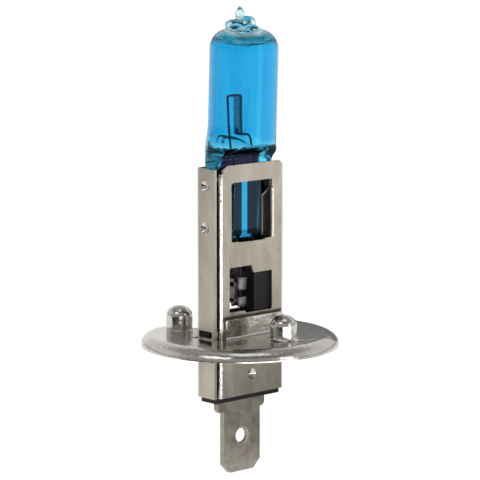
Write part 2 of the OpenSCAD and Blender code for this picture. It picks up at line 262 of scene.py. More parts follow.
class Tree:
    """A small hand on a node tree."""

    def __init__(self, tree):
        self.tree = tree

    def add(self, kind, **values):
        """A new node, with some of its properties or inputs set."""
        node = self.tree.nodes.new(kind)
        for name, value in values.items():
            if hasattr(node, name):
                setattr(node, name, value)
            else:
                node.inputs[name].default_value = value
        return node

    def link(self, output, target):
        self.tree.links.new(output, target)

    def ramp(self, source, *stops):
        """A colour ramp through (position, colour) stops."""
        node = self.add("ShaderNodeValToRGB")
        elements = node.color_ramp.elements
        while len(elements) < len(stops):
            elements.new(0.5)
        for element, (position, colour) in zip(elements, stops):
            element.position = position
            element.color = (*colour, 1.0)
        self.link(source, node.inputs["Fac"])
        return node.outputs["Color"]

    def vector(self, operation, source, other=(0, 0, 0)):
        """A vector operation on a source and a constant."""
        node = self.add("ShaderNodeVectorMath", operation=operation)
        node.inputs[1].default_value = other
        self.link(source, node.inputs[0])
        return node

    def mix(self, kind, a, b):
        """A colour mix node over two colours, and its factor socket."""
        node = self.add("ShaderNodeMix", data_type="RGBA", blend_type=kind)
        factor, low, high = (node.inputs[i] for i in (0, 6, 7))
        self.link(a, low)
        self.link(b, high)
        return factor, node.outputs[2]

    def times(self, a, b):
        """Two colours multiplied."""
        factor, result = self.mix("MULTIPLY", a, b)
        factor.default_value = 1.0
        return result

    def blend(self, share, a, b):
        """Colour a where the share is 0 and colour b where it is 1."""
        factor, result = self.mix("MIX", a, b)
        self.link(share, factor)
        return result


class Nodes(Tree):
    """The nodes of a material."""

    def __init__(self, name):
        self.material = bpy.data.materials.new(name)
        self.material.use_nodes = True
        super().__init__(self.material.node_tree)
        self.surface = self.tree.nodes["Principled BSDF"]
        self.space = self.add("ShaderNodeTexCoord").outputs["Object"]

    def noise(self, grain, stretch=(1, 1, 1), detail=3.0, seed=0.0):
        """Noise whose features are `grain` millimetres across, pulled out by `stretch`."""
        mapping = self.add("ShaderNodeMapping")
        mapping.inputs["Scale"].default_value = [1 / (grain * MM * s) for s in stretch]
        mapping.inputs["Location"].default_value = (seed, seed * 1.7, seed * 0.6)
        self.link(self.space, mapping.inputs["Vector"])
        noise = self.add("ShaderNodeTexNoise", Scale=1.0, Detail=detail, Roughness=0.55)
        self.link(mapping.outputs["Vector"], noise.inputs["Vector"])
        return noise.outputs["Fac"]

    def tones(self, source, low, high):
        """A colour between two that follows a noise."""
        return self.ramp(source, (NOISE_LOW, low), (NOISE_HIGH, high))

    def span(self, source, low, high):
        """A value between two that follows a noise."""
        node = self.add("ShaderNodeMapRange", **{"From Min": NOISE_LOW, "From Max": NOISE_HIGH,
                                                 "To Min": low, "To Max": high})
        self.link(source, node.inputs["Value"])
        return node.outputs["Result"]

    def eased(self, length, start, end):
        """0 up to `start` millimetres of a length and 1 from `end`, which may lie below it."""
        node = self.add("ShaderNodeMapRange", **{"From Min": start * MM, "From Max": end * MM})
        node.interpolation_type = "SMOOTHSTEP"
        self.link(length, node.inputs["Value"])
        return node.outputs["Result"]

    def rise(self, along, start, end):
        """Eases from 0 to 1 between two distances along a direction."""
        dot = self.vector("DOT_PRODUCT", self.space, along)
        return self.eased(dot.outputs["Value"], start, end)

    def outward(self, start, end):
        """Eases from 0 to 1 between two distances from the lamp axis."""
        flat = self.vector("MULTIPLY", self.space, (1, 1, 0))
        length = self.vector("LENGTH", flat.outputs["Vector"])
        return self.eased(length.outputs["Value"], start, end)

    def product(self, first, *others):
        """Values multiplied."""
        for other in others:
            node = self.add("ShaderNodeMath", operation="MULTIPLY")
            self.link(first, node.inputs[0])
            self.link(other, node.inputs[1])
            first = node.outputs["Value"]
        return first

    def relief(self, source, depth, strength=1.0, under=None):
        """Bump of a given depth in millimetres, on top of another bump if there is one."""
        bump = self.add("ShaderNodeBump", Strength=strength, Distance=depth * MM)
        self.link(source, bump.inputs["Height"])
        if under is not None:
            self.link(under, bump.inputs["Normal"])
        return bump.outputs["Normal"]

    def set(self, **values):
        """Sets constants on the shader's own sockets."""
        for name, value in values.items():
            self.surface.inputs[name.replace("_", " ")].default_value = value

    def wire(self, **sources):
        """Links outputs to the shader's sockets, and returns the finished material."""
        for name, source in sources.items():
            self.link(source, self.surface.inputs[name.replace("_", " ")])
        return self.material


def metal(name):
    """Nodes of a metal."""
    n = Nodes(name)
    n.set(Metallic=1.0)
    return n


def sheet_nickel():
    """Satin nickel plating on rolled sheet: blotches, rolling marks, rust-brown specks.

    Painted shade darkens the crevice where the front shell meets the top of its collar.
    """
    n = metal("satin nickel sheet")
    blotch = n.noise(2.2, stretch=(1, 1, 2.5), detail=4, seed=3)
    grain = n.noise(0.05, stretch=(1, 1, 14), detail=2, seed=8)
    orange = n.noise(0.35, detail=3, seed=5)
    wave = n.noise(4.0, stretch=(1, 1, 2), detail=1, seed=9)
    specks = n.noise(0.16, detail=2, seed=12)
    above_collar = n.product(n.rise(UP, COLLAR_H - 0.15, COLLAR_H),
                             n.rise(UP, COLLAR_H + 0.5, COLLAR_H + 0.15))
    crevice = n.product(above_collar, n.rise(TO_FRONT, -FRONT_LOW.y - 0.07, -FRONT_LOW.y - 0.01))
    plate = n.times(
        n.tones(blotch, (0.355, 0.32, 0.262), (0.49, 0.455, 0.395)),
        n.ramp(specks, (0.0, (1, 1, 1)), (0.62, (1, 1, 1)), (0.7, (0.62, 0.5, 0.34))))
    # Painted shade for the crevice above the collar, dark and grainy.
    crevice_shade = n.tones(grain, (0.04, 0.035, 0.03), (0.12, 0.11, 0.09))
    return n.wire(
        Base_Color=n.blend(crevice, plate, crevice_shade),
        Roughness=n.span(blotch, 0.27, 0.38),
        Normal=n.relief(wave, 0.12, under=n.relief(orange, 0.01, under=n.relief(grain, 0.0025))),
    )


def shaded_nickel():
    """The same plating inside the shells, dull, and darkened with painted shade."""
    # Dark tones here are painted shade, not soot or dust.
    n = metal("painted shade nickel")
    blotch = n.noise(0.9, detail=4, seed=4)
    return n.wire(
        Base_Color=n.tones(blotch, (0.03, 0.028, 0.03), (0.075, 0.07, 0.066)),
        Roughness=n.span(blotch, 0.45, 0.6),
        Normal=n.relief(blotch, 0.01),
    )


def bright_nickel():
    """Bright plating of the flange: nearly a mirror, with slow ripples and a few dull spots."""
    n = metal("bright nickel")
    ripple = n.noise(3.0, detail=2, seed=2)
    dent = n.noise(1.1, detail=1, seed=6)
    spots = n.noise(0.5, detail=5, seed=11)
    return n.wire(
        Base_Color=n.tones(spots, (0.5, 0.475, 0.435), (0.6, 0.58, 0.545)),
        Roughness=n.span(spots, 0.11, 0.22),
        Normal=n.relief(spots, 0.004, under=n.relief(dent, 0.05, under=n.relief(ripple, 0.06))),
    )


def strap_steel():
    """Dull strip with heat tint from welding."""
    n = metal("welded strip")
    tint = n.noise(0.8, detail=4, seed=21)
    return n.wire(
        Base_Color=n.tones(tint, (0.08, 0.075, 0.07), (0.26, 0.25, 0.23)),
        Roughness=n.span(tint, 0.3, 0.55),
        Normal=n.relief(tint, 0.04),
    )


def lead_metal():
    """Dark drawn wire and foil."""
    n = metal("molybdenum")
    draw = n.noise(0.08, stretch=(1, 1, 10), seed=14)
    return n.wire(
        Base_Color=n.tones(draw, (0.012, 0.012, 0.02), (0.04, 0.038, 0.05)),
        Roughness=n.span(draw, 0.3, 0.45),
        Normal=n.relief(draw, 0.004),
    )


def tungsten():
    """Coil wire, lighter on its left and darker on its right, as painted light and shade."""
    n = metal("tungsten")
    draw = n.noise(0.06, seed=15)
    bright = n.tones(draw, (0.06, 0.06, 0.09), (0.2, 0.2, 0.26))
    dark = n.tones(draw, (0.004, 0.003, 0.01), (0.015, 0.01, 0.03))
    # Painted light and shade: lit tones on the coil's left, shaded ones on its right.
    painted_lit_left = n.rise(TO_LEFT, 0.1 - COIL_X, 0.3 - COIL_X)
    return n.wire(
        Base_Color=n.blend(painted_lit_left, dark, bright),
        Roughness=n.span(draw, 0.15, 0.25),
        Normal=n.relief(draw, 0.004),
    )


def phenolic():
    """Moulded black insulator with a faint filler grain."""
    n = Nodes("black phenolic")
    grain = n.noise(0.12, detail=4, seed=31)
    n.set(Metallic=0.0, Specular_IOR_Level=0.3)
    return n.wire(
        Base_Color=n.tones(grain, (0.004, 0.003, 0.005), (0.011, 0.009, 0.013)),
        Roughness=n.span(grain, 0.45, 0.6),
        Normal=n.relief(grain, 0.01),
    )


def tab_metal():
    """Dull tinned steel of the terminal, mottled grey and brown, with fine wear along its length."""
    n = metal("dull tinned steel")
    mottle = n.noise(1.1, detail=5, seed=41)
    fine = n.noise(0.22, detail=3, seed=45)
    grain = n.noise(0.05, stretch=(1, 1, 8), seed=43)
    patches = n.ramp(mottle, (0.3, (0.27, 0.238, 0.192)), (0.55, (0.35, 0.325, 0.28)),
                     (0.75, (0.38, 0.365, 0.335)))
    return n.wire(
        Base_Color=n.times(patches, n.ramp(fine, (0.3, (0.86, 0.84, 0.8)), (0.6, (1, 1, 1)))),
        Roughness=n.span(mottle, 0.34, 0.46),
        Normal=n.relief(mottle, 0.012, under=n.relief(grain, 0.003)),
    )


def fused(name):
    """Nodes of fused quartz, which mirrors a little blue; its tint is still to be wired."""
    n = Nodes(name)
    n.set(Transmission_Weight=1.0, IOR=1.46, Metallic=0.0)
    n.set(Specular_Tint=(*BLUE_GLINT, 1.0))
    return n


def coat_tint(n, draw, crinkle, pressed, painted_dark_reflection):
    """Colour of the blue coat over the envelope.

    It is darker towards the left, dark over the melted dome, thin round the press, and missing on the
    exhaust stub. A near-black purple, a painted dark reflection, covers the front of the press's slope;
    the same purple lies right of the neck, and the coat is teal on the left wing.
    """
    streak = n.noise(0.7, stretch=(2.5, 2.5, 0.6), detail=3, seed=52)
    blue = n.tones(draw, (0.008, 0.33, 0.68), (0.02, 0.4, 0.76))
    darker_blue = n.tones(draw, (0.003, 0.24, 0.52), (0.008, 0.33, 0.66))
    dark = n.ramp(streak, (0.35, (0.006, 0.16, 0.25)), (0.62, (0.04, 0.4, 0.52)))
    bare = n.ramp(crinkle, (0.35, (0.3, 0.66, 0.7)), (0.6, (0.86, 0.96, 0.98)))
    thin = n.ramp(streak, (0.35, (0.03, 0.5, 0.82)), (0.7, (0.2, 0.75, 0.95)))
    # Near-black purple: a painted dark reflection where it covers the press's slope.
    purple = n.ramp(streak, (0.35, (0.0002, 0.0001, 0.0004)), (0.7, (0.002, 0.0008, 0.006)))
    teal = n.tones(draw, (0.004, 0.13, 0.22), (0.01, 0.2, 0.32))
    left_side = n.rise(TO_LEFT, 1.4, 3.4)
    dome = n.rise(UP, 37.3, 37.6)
    stub = n.product(n.rise(UP, 37.7, 38.1), n.outward(3.7, 3.2))
    left_wing = n.product(n.rise(TO_LEFT, 4.45, 4.75), n.rise(UP, WING_TOP + 0.1, WING_TOP - 1.1))
    right_of_neck = n.product(n.rise(TO_LEFT, -1.85, -2.1), n.rise(UP, 20.9, 20.3))
    tint = blue
    for where, colour in ((left_side, darker_blue), (dome, dark), (stub, bare), (pressed, thin),
                          (painted_dark_reflection, purple), (left_wing, teal), (right_of_neck, purple)):
        tint = n.blend(where, tint, colour)
    return tint


def coated_quartz():
    """The envelope's outer skin: coated, satin where it was pressed and crinkled where it melted."""
    n = fused("blue coated quartz")
    draw = n.noise(1.4, stretch=(1, 1, 8), detail=2, seed=51)
    crinkle = n.noise(0.45, detail=2, seed=53)
    pressed = n.product(n.rise(UP, 20.6, 21.2), n.rise(UP, 24.9, 23.9))
    jaws = n.product(n.rise(UP, 20.6, 21.4), n.rise(UP, 24.15, 23.75))
    under_arch = n.product(n.rise((-1.08, 0.9, 1), 26.7, 26.3), n.rise(TO_LEFT, -2.3, -1.8))
    # Mask of the painted dark reflection over the front of the press's slope.
    painted_dark_reflection = n.product(jaws, under_arch, n.rise(TO_FRONT, -0.6, 0.4))
    melted = n.product(crinkle, n.rise(UP, 37.2, 38.8))
    return n.wire(
        Base_Color=coat_tint(n, draw, crinkle, pressed, painted_dark_reflection),
        # The glint is dimmed and purple there, as part of the painted dark reflection.
        Specular_Tint=n.ramp(painted_dark_reflection, (0.0, BLUE_GLINT), (1.0, (0.2, 0.1, 0.3))),
        Roughness=n.blend(pressed, n.span(draw, 0.0, 0.015), n.span(draw, 0.14, 0.18)),
        Normal=n.relief(draw, 0.01, under=n.relief(melted, 0.16)),
    )


def bore_quartz():
    """The inner skin, clear with a faint draw, and satin at its pressed foot."""
    n = fused("clear quartz")
    ripple = n.noise(0.6, stretch=(1.6, 1.6, 0.5), detail=2, seed=55)
    return n.wire(
        Base_Color=n.ramp(ripple, (0.0, (0.95, 0.98, 1.0)), (1.0, (1.0, 1.0, 1.0))),
        Roughness=n.blend(n.rise(UP, 24.9, 24.2), n.span(ripple, 0.0, 0.01), n.span(ripple, 0.14, 0.2)),
        Normal=n.relief(ripple, 0.002),
    )


def sagged_quartz():
    """The smoky melted end of the bore."""
    n = fused("smoky quartz")
    ripple = n.noise(0.6, stretch=(1.6, 1.6, 0.5), detail=2, seed=56)
    return n.wire(
        Base_Color=n.ramp(ripple, (0.38, (0.16, 0.4, 0.52)), (0.62, (0.7, 0.9, 0.96))),
        Roughness=n.span(ripple, 0.0, 0.02),
        Normal=n.relief(ripple, 0.1),
    )


# ---------- quartz envelope ----------

LEAN = radians(1.8)  # lean of the envelope towards +X
LEAN_Z = 14.0  # height about which it leans
TUBE_R = 4.35
BORE_R = 3.35
SEAL_HALF = 1.25  # half the thickness of the press seal
SEAL_Z = 12.45
NECK_Z = (19.3, 20.4)  # where the seal widens from its neck to its wings
NECK_X, WINGS_X = (-2.62, 2.6), (-5.3, 3.95)
JAW_Z, JAW_HEIGHT = 22.4, 1.9  # foot and height of the slope that the press left
PRESSED_TOP, MELTED_Z = 27.0, 37.2  # pressed below the first, melted above the second
DOME_Z, DOME_TOP, DOME_POWER = 35.8, 38.85, 2.5
TIP_GAP = 0.03  # the tip's cap stays this far below the CAD's
BORE_TOP, BORE_SAG = 37.0, 1.05  # the melted end of the bore sags into it
BORE_BOTTOM = 22.75
RIM_ROUND, RIM_HEIGHT = 0.4, 0.45  # how far the bore narrows at its end, and over what height
WING, WING_Z, WING_TOP = 0.95, 21.3, 26.5  # how far the tube spreads to the left above the press
SIDE_VIEW = Vector((0.733, -0.68))  # the way the melted stub's lobes lie side by side
OUTER_SIDES, BORE_SIDES = 112, 96


def leaning(point):
    """A point of the upright envelope after it leans."""
    x, y, z = point
    dz = z - LEAN_Z
    return (x * cos(LEAN) + dz * sin(LEAN), y, LEAN_Z + dz * cos(LEAN) - x * sin(LEAN))


def soft_min(a, b, k):
    """The lower of two values, eased over a width k where they are close."""
    h = max(k - abs(a - b), 0) / k
    return min(a, b) - h * h * k / 4


def soft_max(a, b, k):
    """The higher of two values, eased in the same way."""
    return -soft_min(-a, -b, k)


def between(z, low, high, start, end):
    """Eases from start to end as z goes from low to high."""
    t = min(max((z - low) / (high - low), 0), 1)
    return start + (end - start) * t * t * (3 - 2 * t)


def ellipsoid(x, y, z, centre, radii):
    """Below zero inside an ellipsoid."""
    q = sqrt(sum(((a - b) / r) ** 2 for a, b, r in zip((x, y, z), centre, radii)))
    return (q - 1) * min(radii)


def on_side(offset, depth, z):
    """A point beside the tube's axis, along the side view and across it."""
    across = Vector((-SIDE_VIEW.y, SIDE_VIEW.x))
    plan = SIDE_VIEW * offset + across * depth
    return (plan.x, plan.y, z)


LOBES = (
    (on_side(-1.45, -0.1, 39.0), (1.1, 1.0, 0.72)),
    (on_side(-0.75, -0.75, 38.95), (0.75, 0.6, 0.6)),
    (on_side(0.45, 0.15, 39.2), (1.0, 0.95, 1.0)),
    (on_side(0.25, -0.7, 39.05), (0.55, 0.5, 0.75)),
    (on_side(-0.55, 0.75, 38.95), (0.9, 0.8, 0.75)),
    (on_side(-1.0, -1.9, 38.7), (1.0, 0.9, 0.55)),
    (on_side(0.85, -1.8, 38.75), (0.95, 0.9, 0.55)),
    (on_side(-0.1, -2.75, 38.4), (0.95, 0.7, 0.4)),
)
BEAD = on_side(-0.62, 0.0, 40.35)


def tube_skin(x, y, z):
    """The domed tube, spread to the left above the press."""
    t = max(z - DOME_Z, 0) / (DOME_TOP - DOME_Z)
    if t >= 1:
        return 1.0
    radius = TUBE_R * (1 - t ** DOME_POWER) ** (1 / DOME_POWER)
    spread = WING * max((WING_TOP - max(z, WING_Z)) / (WING_TOP - WING_Z), 0) ** 1.1
    return hypot(x * TUBE_R / (TUBE_R + spread) if x < 0 else x, y) - radius


def pressed_skin(tube, x, y, z):
    """The tube squeezed by the jaws, over the slab of the seal."""
    jaw_z = JAW_Z - between(-x, 2.8, 4.6, 0, 1.1) - between(x, 2.2, 3.6, 0, 0.7)
    flare = min(max(z - jaw_z, 0) / JAW_HEIGHT, 1.3)
    tube = soft_max(tube, abs(y) - (SEAL_HALF + 3.3 * flare ** 2.4), 0.7)
    left = between(z, *NECK_Z, NECK_X[0], WINGS_X[0])
    right = between(z, *NECK_Z, NECK_X[1], WINGS_X[1]) + between(z, 21.6, 25.5, 0, 0.25)
    slab = soft_max(abs(y) - SEAL_HALF, soft_max(x - right, left - x, 0.3), 0.5)
    if z < WING_Z:
        return slab
    if x < 0:
        slab = soft_max(slab, tube - 0.05, 0.1)
    return soft_min(tube, slab + between(z, 24.6, 26.9, 0, 1.2), 0.5)


def melted_skin(tube, x, y, z):
    """The dome with the lobes of the melted stub and the bead on top."""
    shape = tube
    for centre, radii in LOBES:
        shape = soft_min(shape, ellipsoid(x, y, z, centre, radii), 0.25)
    taper = between(z, 40.4, 41.6, 0.62, 0.08) if z > 40.4 else between(z, 39.6, 40.4, 0.5, 0.62)
    bead = max(hypot(x - BEAD[0], y - BEAD[1]) - taper, 39.2 - z)
    return soft_min(shape, bead, 0.2)


def outside_of_glass(x, y, z):
    """Below zero inside the envelope's outer skin."""
    tube = tube_skin(x, y, z)
    if z < PRESSED_TOP:
        return pressed_skin(tube, x, y, z)
    if z > MELTED_Z:
        return melted_skin(tube, x, y, z)
    return tube


def inside_of_glass(x, y, z):
    """Below zero inside the gas space."""
    t = max(z - (BORE_TOP - RIM_HEIGHT), 0) / RIM_HEIGHT
    bore = hypot(x, y) - BORE_R + RIM_ROUND * min(t, 1) ** 2.5
    jaw = abs(y) - (0.3 + 3.0 * (max(z - 22.9, 0) / 1.2) ** 1.8)
    width = abs(x + 0.1) - between(z, 22.8, 24.0, 2.4, 3.6)
    return soft_max(soft_max(bore, jaw, 0.5), width, 0.6)


def sagged_end(sides):
    """Rings of the bore's end, from its rim in to the lowest point of its sag."""
    rim = BORE_R - RIM_ROUND
    shares = [cos(turned) for turned in quarter_turn(16)[1:-1]]
    return [[(rim * q * cos(a), rim * q * sin(a), BORE_TOP - BORE_SAG * (1 - q * q))
             for a in full_turn(sides)] for q in shares]


def spine(z):
    """Centre of the ring at this height: it moves over to the bead at the top, and into the seal."""
    over = between(z, 38.6, 39.9, 0, 1)
    seal = between(z, 19.0, 24.0, 0.3, 0.0)
    return (BEAD[0] * over + seal, BEAD[1] * over)


def ring_of(shape, z, sides, middle):
    """Points where rays from the ring's centre leave the shape, found by halving."""
    def point(a, reach):
        return (middle[0] + reach * cos(a), middle[1] + reach * sin(a), z)

    step, farthest, halvings = 0.35, 7.0, 13
    points = []
    for a in full_turn(sides):
        near, far = 0.0, step
        while far < farthest and shape(*point(a, far)) < 0:
            near = far
            far += step
        for _ in range(halvings):
            half = (near + far) / 2
            if shape(*point(a, half)) < 0:
                near = half
            else:
                far = half
        points.append(point(a, near))
    return points


def heights(*stretches):
    """Heights from (start, end, step) stretches, one after another."""
    result = []
    for start, end, step in stretches:
        count = max(1, round((end - start) / step))
        result += [start + (end - start) * i / count for i in range(count)]
    return result + [stretches[-1][1]]


def loft(bm, rings, outward):
    """A closed skin through rings of points, after they lean."""
    faces = skin(bm, [[bm.verts.new(leaning(p)) for p in ring] for ring in rings])
    if not outward:
        bmesh.ops.reverse_faces(bm, faces=faces)
    return faces


def quartz_envelope():
    """The envelope: an outer skin round an inner one, with rings close where the glass bends."""
    bm = bmesh.new()
    levels = heights((SEAL_Z, 19.2, 1.1), (19.2, 20.5, 0.09), (20.5, 21.6, 0.18), (21.6, 27.0, 0.12),
                     (27.0, DOME_Z, 1.1), (DOME_Z, 37.6, 0.12), (37.6, GLASS_TOP - TIP_GAP, 0.045))
    loft(bm, [ring_of(outside_of_glass, z, OUTER_SIDES, spine(z)) for z in levels], True)
    levels = heights((BORE_BOTTOM, 26.2, 0.08), (26.2, BORE_TOP - 0.5, 1.2),
                     (BORE_TOP - 0.5, BORE_TOP, 0.05))
    bore = [ring_of(inside_of_glass, z, BORE_SIDES, (0.0, 0.0)) for z in levels]
    bore_faces = BORE_SIDES * (len(bore) - 1)
    for i, face in enumerate(loft(bm, bore + sagged_end(BORE_SIDES), False)):
        face.material_index = 1 if i < bore_faces else 2
    piece = place(bm, "quartz_envelope")
    piece.data.shade_smooth()
    stands_for(piece, "glass_envelope", "blue_quartz", coated_quartz(), bore_quartz(), sagged_quartz())


# ---------- coil and leads ----------

def round_wire(name, points, radius, sides=10):
    """A round wire along a smooth line of points."""
    bm = bmesh.new()
    path = [Vector(p) for p in points]
    normal = Vector((0, 1, 0))
    rings = []
    for i, point in enumerate(path):
        ahead = path[min(i + 1, len(path) - 1)] - path[max(i - 1, 0)]
        ahead.normalize()
        normal = (normal - ahead * normal.dot(ahead)).normalized()
        side = ahead.cross(normal)
        rings.append([bm.verts.new(point + (normal * cos(a) + side * sin(a)) * radius)
                      for a in full_turn(sides)])
    skin(bm, rings)
    bmesh.ops.recalc_face_normals(bm, faces=bm.faces)
    piece = place(bm, name)
    piece.data.shade_smooth()
    return piece


def smooth_line(corners, steps=7):
    """Points along a line whose corners (x, y, z, radius) are rounded."""
    line = []
    for i, (x, y, z, radius) in enumerate(corners):
        here = Vector((x, y, z))
        if radius <= 0:
            line.append(here)
            continue
        before = (Vector(corners[i - 1][:3]) - here).normalized() * radius
        after = (Vector(corners[i + 1][:3]) - here).normalized() * radius
        for k in range(steps + 1):
            t = k / steps
            line.append(here + before * (1 - t) ** 2 + after * t ** 2)
    return line


COIL_TURNS, COIL_STEPS = 23, 18  # turns, and points on each turn
COIL_WIRE, LEAD_R = 0.075, 0.15  # radii of the wires
COIL_X = (COIL_LOW.x + COIL_HIGH.x) / 2
COIL_R = (COIL_HIGH.x - COIL_LOW.x) / 2 - COIL_WIRE
COIL_FOOT, COIL_HEAD = COIL_LOW.z + COIL_WIRE, COIL_HIGH.z - COIL_WIRE


def filament():
    """The coil, as one helix."""
    count = COIL_TURNS * COIL_STEPS
    points = []
    for i in range(count + 1):
        a = 2 * pi * i / COIL_STEPS
        rise = (COIL_HEAD - COIL_FOOT) * i / count
        points.append((COIL_X + COIL_R * cos(a), COIL_R * sin(a), COIL_FOOT + rise))
    piece = round_wire("tungsten_coil", points, COIL_WIRE, sides=8)
    stands_for(piece, "filament_coil", "tungsten", tungsten())


def leads(moly):
    """The two leads, from the ends of the coil down into the seal."""
    long_lead = smooth_line([
        (COIL_X + COIL_R, 0, COIL_HEAD, 0), (COIL_X + 0.1, 0, COIL_HEAD + 0.14, 0.2),
        (-2.02, 0, COIL_HEAD + 0.12, 0.3), (-1.7, 0, 23.4, 0.4), (-1.5, 0, 19.8, 0),
    ])
    short_lead = smooth_line([
        (COIL_X - COIL_R, 0, COIL_FOOT, 0), (COIL_X, 0, COIL_FOOT - 0.14, 0.2),
        (1.68, 0, COIL_FOOT - 0.25, 0.7), (1.78, 0, 23.4, 0.4), (1.85, 0, 19.8, 0),
    ])
    for name, points in (("long", long_lead), ("short", short_lead)):
        piece = round_wire(name + "_lead_wire", points, LEAD_R)
        stands_for(piece, name + "_inner_lead", "molybdenum", moly)


# ---------- shells ----------

SEAL_WINDOW = ((-3.2, 3.78), (12.1, 19.6))
TAB_FLATS = (-3.3, 4.2)  # where the window tabs start to bend
TAB_Z = (12.1, 18.5)
TAB_CHAMFER = 1.2
TAB_DEPTH = 1.84
TAB_EDGE = 0.16  # bright sheared edge along their chamfer
WELD_X = (-3.5, 3.8)
WELD_LEFT_Z, WELD_RIGHT_Z = (3.2, 8.9), (2.9, 7.9)
SLOT = ((-1.2, 1.2), (0.12, 0.95))  # of the side walls: from the mid-plane, and in height
DIMPLE, DIMPLE_R = (0.25, -5.1), 0.75  # of the front shell, below the flange
STAKES_Z, STAKE_R = (14.0, 19.2), 0.75
PRESS_DEPTH = 0.42
OUTER_X = FRONT_HIGH.x  # outer face of the side wall outside its neighbour
INNER_X = -FRONT_LOW.x - 0.07  # outer face of the side wall inside its neighbour
OUTER_LEG = REAR_HIGH.y - FRONT_LOW.y - 0.17  # depth of each wall, measured from its own panel
INNER_LEG = 2.8
INNER_TOP_Z = 19.9


def seal_window():
    """Outline of the upper window, with the tabs' bends beside it."""
    (x0, x1), (z0, z1) = SEAL_WINDOW
    left, right = TAB_FLATS
    return rounded([
        (left, TAB_Z[0], 0), (-1.95, TAB_Z[0], 0), (-1.85, z0 - 0.15, 0.08), (2.6, z0 - 0.15, 0.08),
        (2.7, TAB_Z[0], 0), (right, TAB_Z[0], 0), (right, TAB_Z[1], 0), (x1, TAB_Z[1] + 0.12, 0.08),
        (x1, z1, 0.12), (x0, z1, 0.4), (x0, TAB_Z[1] + 0.12, 0.08), (left, TAB_Z[1], 0),
    ], steps=4)


def weld_window():
    """Outline of the lower window, whose left part is taller than its right."""
    x0, x1 = WELD_X
    left_z0, left_z1 = WELD_LEFT_Z
    right_z0, right_z1 = WELD_RIGHT_Z
    return rounded([
        (x0, left_z0, 0.15), (-0.85, left_z0, 0.05), (-0.7, right_z0, 0.1), (x1, right_z0, 0.2),
        (x1, right_z1, 0.1), (0.62, right_z1, 0.15), (0.25, left_z1, 0.12), (x0, left_z1, 0.3),
    ], steps=4)


def side_slot(middle):
    """Outline of the slot through the foot of a side wall."""
    (x0, x1), (z0, z1) = SLOT
    corners = ((x0, z0), (x1, z0), (x1, z1), (x0, z1))
    return rounded([(middle + x, z, 0.15) for x, z in corners], steps=3)


def pressing(sheet, to_space, centre, radius):
    """A round pressing: a soft dish, a steep wall and a small floor."""
    profile = ((1.0, 0.0), (0.9, 0.13), (0.78, 0.3), (0.64, 0.5), (0.48, 0.72), (0.3, 0.9), (0.12, 1.0))
    # The pressing takes the brighter flange plating: polished by the punch, and partly a painted
    # highlight.
    sheet.dome([[to_space(p.x, p.y, sunk * PRESS_DEPTH) for p in circle(*centre, radius * share)]
                for share, sunk in profile], material=1)


def side_wall(sheet, to_space, side, reach, depth, levels, middle, stakes):
    """A side wall and its long bend. Levels are the foot, the top and how far up the bend goes on."""
    foot, top, bend_top = levels
    u, u_flat = side * reach, side * (reach - BEND)
    bend = arc(u_flat, 0, u, BEND, (u_flat, BEND), steps=8)
    # The long bend takes the brighter flange plating: polished, and partly a painted highlight along
    # it.
    for low, high in ((foot, top), (top, bend_top)):
        if low < high:
            sheet.rows([[to_space(a, d, low), to_space(a, d, high)] for a, d in bend], material=1)
    wall = [(BEND, foot), (depth, foot), (depth, top), (BEND, top)]
    holes = [side_slot(middle), *(circle(middle, z, STAKE_R) for z in stakes)]
    sheet.panel(lambda d, z: to_space(u, d, z), wall, holes)
    for z in stakes:
        pressing(sheet, lambda d, z, sunk: to_space(u - sunk, d, z), (middle, z), STAKE_R)


def window_tab(sheet, to_space, u_flat, u):
    """A leaf bent in from the upper window, with a bright sheared edge along its chamfer and a face
    darkened with painted shade.
    """
    low, high = TAB_Z
    edge = high - TAB_EDGE
    bend = arc(u_flat, 0, u, TAB_BEND, (u_flat, TAB_BEND))
    sheet.rows([[to_space(a, d, z) for z in (low, edge, high)] for a, d in bend])
    top = [(TAB_BEND, high), (TAB_BEND + 0.1, high), (TAB_DEPTH, high - TAB_CHAMFER), (TAB_DEPTH, low)]
    inner = [(TAB_BEND, edge), (TAB_BEND + 0.1, edge),
             (TAB_DEPTH - TAB_EDGE, high - TAB_CHAMFER - TAB_EDGE / 2), (TAB_DEPTH - TAB_EDGE, low)]
    # The edge keeps the satin plating; the face takes the inside material, a painted shade.
    for outline, material in (([*top, *inner[::-1]], 0), ([(TAB_BEND, low), *inner], 2)):
        sheet.panel(lambda d, z: to_space(u, d, z), outline, material=material)


def half_shell(name, turn, face_y, low, high, corner, dimpled, materials):
    """One of the two like pressings. `turn` is 1 for the front one and -1 for the rear one.

    It is drawn from its panel: u runs along the panel and d runs back from its face.
    """
    def space(u, d, z):
        return (turn * u, face_y + turn * d, z)

    sheet = Sheet()
    left, right = -INNER_X + BEND, OUTER_X - BEND
    left_top, right_top = high - corner[0], high - corner[1]
    outline = rounded([(left, low, 0), (right, low, 0), (right, high, corner[1]),
                       (left, high, corner[0])], steps=7)
    holes = [[(turn * p.x, p.y) for p in window] for window in (seal_window(), weld_window())]
    if dimpled:
        holes.append(circle(*DIMPLE, DIMPLE_R))
        pressing(sheet, lambda x, z, sunk: space(x, sunk, z), DIMPLE, DIMPLE_R)
    sheet.panel(lambda u, z: space(u, 0, z), outline, holes)
    middle = -turn * face_y
    side_wall(sheet, space, 1, OUTER_X, OUTER_LEG, (low, right_top, right_top), middle, STAKES_Z)
    inner_levels = (low, min(INNER_TOP_Z, left_top), left_top)
    side_wall(sheet, space, -1, INNER_X, INNER_LEG, inner_levels, middle, ())
    for flat, inwards in zip(TAB_FLATS, (TAB_BEND, -TAB_BEND)):
        window_tab(sheet, space, turn * flat, turn * (flat + inwards))
    piece = sheet.piece(name + "_sheet", SHEET, Vector((0, -turn, 0)), materials)
    stands_for(piece, name, "nickel_plate")


